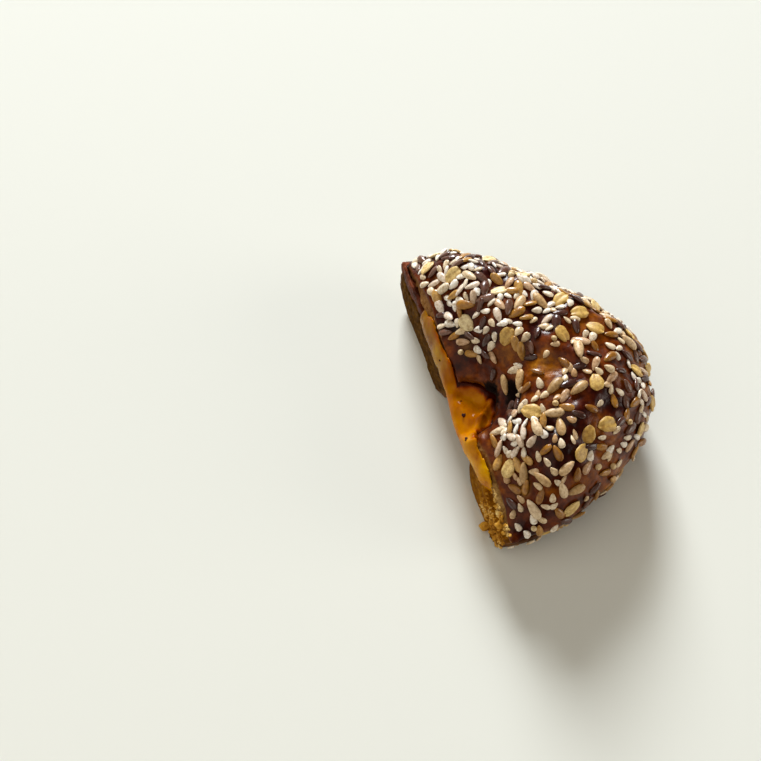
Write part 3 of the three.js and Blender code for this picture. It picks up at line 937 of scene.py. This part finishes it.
def seedShape(kind):
    spec = seedKinds[kind]
    length, width, thickness = spec["size"]
    bm = bmesh.new()
    bmesh.ops.create_uvsphere(bm, u_segments=spec["around"], v_segments=spec["along"], radius=1)
    bmesh.ops.rotate(bm, cent=(0, 0, 0), matrix=Matrix.Rotation(math.pi / 2, 3, "Y"), verts=bm.verts)
    for vert in bm.verts:
        x, y, z = vert.co
        taper = 1 - spec["point"] * x
        groove = spec["groove"] * math.exp(-((y / 0.22) ** 2)) if z > 0 else 0
        turn = math.atan2(y, x)
        ragged = 1 + spec["groove"] * (0.05 * math.sin(3 * turn + 1) + 0.04 * math.sin(7 * turn))
        height = thickness * (z * (0.75 + 0.25 * taper) - groove)
        vert.co = (length * x * ragged, width * y * taper * ragged, height)
    mesh = bpy.data.meshes.new(kind)
    bm.to_mesh(mesh)
    bm.free()
    return mesh


def seedMaterial(name, stops, roughness):
    material, tree, shader = newMaterial(name, roughness, Specular_IOR_Level=0.5)
    toneAndLight = ramp(tree, attributeOf(tree, "toneAndLight"), stops)
    mottle = ramp(tree, objectNoise(tree, 900, 3, 0.6), [(0.3, "#c8b49c"), (0.6, "#ffffff")])
    tree.links.new(mixColours(tree, 1.0, toneAndLight, mottle, "MULTIPLY"), shader.inputs["Base Color"])
    bump(tree, shader, objectNoise(tree, 1500, 2, 0.5), 0.00015, 0.5)
    return material


# One piece for all the seeds of a look on one bread, each with its own size and tilt, and a random tone
# lightened by painted light on the far side, by the notch and by the rim
def seedPiece(name, look, places):
    stops, roughness = seedLooks[look]
    bm = bmesh.new()
    toneAndLightLayer = bm.verts.layers.float.new("toneAndLight")
    chance = random.Random(name)
    for place in places:
        known = len(bm.verts)
        bm.from_mesh(shapes[place["kind"]])
        bm.verts.ensure_lookup_table()
        fresh = bm.verts[known:]
        thickness = seedKinds[place["kind"]]["size"][2]
        normal, spin = place["normal"], place["spin"]
        direction = Matrix.Rotation(spin, 3, normal) @ place["along"]
        sideways = normal.cross(direction)
        turned = Matrix((direction, sideways, normal)).transposed()
        lay = ownLay if place["own"] else smallLay
        roll = Matrix.Rotation(lay["sway"] * chance.uniform(-0.3, 0.3), 3, "X")
        tilt = roll @ Matrix.Rotation(lay["sway"] * chance.uniform(-0.18, 0.18), 3, "Y")
        lift = lay["lift"] * thickness
        centre = place["here"] + normal * (lift + crustDetail(place["here"]) - dentDepth(place["here"]))
        far = smoothStep(-25, 40, place["here"].y)
        size = chance.uniform(lay["smallest"], lay["largest"] + lay["farGrowth"] * far)
        matrix = Matrix.Translation(centre) @ (turned @ tilt).to_4x4() @ Matrix.Scale(size, 4)
        bmesh.ops.transform(bm, matrix=matrix, verts=fresh)
        # painted light: seeds on the far side, by the notch and by the rim are made paler, on top of a random
        # tone
        litRim = 0.6 * smoothStep(30, 46, place["here"].xy.length)
        toneAndLight = 0.55 * chance.random() + 0.45 * max(far, byNotch(place["here"]), litRim)
        for vert in fresh:
            vert[toneAndLightLayer] = toneAndLight
    placePiece(bm, name, seedMaterial(name + "Skin", stops, roughness))


def scatterOver(section, isCrown, turns, plan, clearOf):
    def pointAt(angle, turn):
        return ringPoint(angle, *sectionPoint(section, turn), isCrown)

    placed = []
    scatterSeeds(pointAt, turns, plan["counts"], plan["seed"], clearOf, plan, placed, plan["crowding"])
    own = len(placed)
    extraPlaces = extraClear if isCrown else clearOf
    scatterSeeds(
        pointAt, turns, plan["extra"], plan["extraSeed"], extraPlaces, plan, placed, plan["extraCrowding"],
    )
    for number, seed in enumerate(placed):
        seed["own"] = number < own
    return placed


shapes = {kind: seedShape(kind) for kind in seedKinds}
noise.seed_set(61)
crownStart = turnAtHeight(crownSection, bagel["crownSlice"])
crownSeeds = scatterOver(crownSection, True, (crownStart, math.pi - crownStart), crownScatter, crownClear)
baseTurns = (-turnAtHeight(baseSection, 0), -turnAtHeight(baseSection, bagel["baseSlice"]))
baseSeeds = scatterOver(baseSection, False, baseTurns, baseScatter, baseClear)
print("seeds placed:", len(crownSeeds), "on the crown and", len(baseSeeds), "on the base")
print("of them in the frame too:", sum(seed["own"] for seed in crownSeeds + baseSeeds))

# Flax comes in three colours; the pale look, partly its own tone and partly painted light, is given more on
# the far side and by the notch, and golden more near the tip
flaxChance = random.Random(12)
for seed in crownSeeds + baseSeeds:
    seed["look"] = seed["kind"]
    if seed["kind"] == "flaxSeed":
        y, drawn = seed["here"].y, flaxChance.random()
        # painted light: more pale flax on the far side and by the notch
        pale = 0.12 + 0.3 * max(smoothStep(15, 35, y), byNotch(seed["here"]))
        golden = 0.3 + 0.3 * smoothStep(-12, -26, y) - 0.12 * smoothStep(15, 35, y)
        seed["look"] = "paleFlax" if drawn < pale else "goldenFlax" if drawn < pale + golden else "darkFlax"

for look in seedLooks:
    for part, seeds, slotName in (("Crown", crownSeeds, "crown_bread"), ("Base", baseSeeds, "base_bread")):
        chosen = [seed for seed in seeds if seed["look"] == look]
        if chosen:
            seedPiece(look + part, look, chosen)
for mesh in shapes.values():
    bpy.data.meshes.remove(mesh)

# The floor, the light and the camera
studio = {
    "azimuth": -18.0, "elevation": 60.4, "distance": 0.5,
    "lens": 36 * 1457 / 761,  # the sensor's width, and the focal length and the picture's width in pixels
    "aim": Vector((-0.04847, 0.0207, 0.0)),
    "floorColour": "#e5e5dd",
    "window": {"place": Vector((0.7, 3.5, 1.7)), "size": 1.2, "power": 260.0, "colour": (0.93, 0.975, 1.0)},
    "fill": {"place": Vector((-0.9, -0.2, 1.2)), "size": 2.2, "power": 13.0, "colour": (1.0, 0.92, 0.78)},
    "side": {"place": Vector((1.8, -0.8, 0.55)), "size": 1.0, "power": 14.0, "colour": (1.0, 0.95, 0.86)},
    "roomColour": (1.0, 0.98, 0.94, 1.0),
    "roomLight": 0.08,
}

floorMesh = bmesh.new()
bmesh.ops.create_grid(floorMesh, x_segments=1, y_segments=1, size=3)
floorData = bpy.data.meshes.new("floor")
floorMesh.to_mesh(floorData)
floorMesh.free()
floor = bpy.data.objects.new("floor", floorData)
bpy.context.scene.collection.objects.link(floor)
floorMaterial, _, floorShader = newMaterial("paleFloor", 0.8)
floorShader.inputs["Base Color"].default_value = colourOf(studio["floorColour"])
floorData.materials.append(floorMaterial)


def areaLight(name, spec):
    data = bpy.data.lights.new(name, "AREA")
    data.shape = "SQUARE"
    data.size = spec["size"]
    data.energy = spec["power"]
    data.color = spec["colour"]
    light = bpy.data.objects.new(name, data)
    light.location = spec["place"]
    light.rotation_euler = (-spec["place"]).to_track_quat("-Z", "Y").to_euler()
    bpy.context.scene.collection.objects.link(light)


for name in ("window", "fill", "side"):
    areaLight(name, studio[name])
world = bpy.data.worlds.new("softRoom")
world.use_nodes = True
world.node_tree.nodes["Background"].inputs["Color"].default_value = studio["roomColour"]
world.node_tree.nodes["Background"].inputs["Strength"].default_value = studio["roomLight"]
bpy.context.scene.world = world
bpy.context.scene.view_settings.view_transform = "Standard"

azimuth, elevation = math.radians(studio["azimuth"]), math.radians(studio["elevation"])
back = Vector((
    math.sin(azimuth) * math.cos(elevation),
    -math.cos(azimuth) * math.cos(elevation),
    math.sin(elevation),
))
cameraData = bpy.data.cameras.new("camera")
cameraData.lens = studio["lens"]
cameraData.clip_start = 0.01
camera = bpy.data.objects.new("camera", cameraData)
camera.location = studio["aim"] + back * studio["distance"]
camera.rotation_euler = (-back).to_track_quat("-Z", "Y").to_euler()
bpy.context.scene.collection.objects.link(camera)
bpy.context.scene.camera = camera
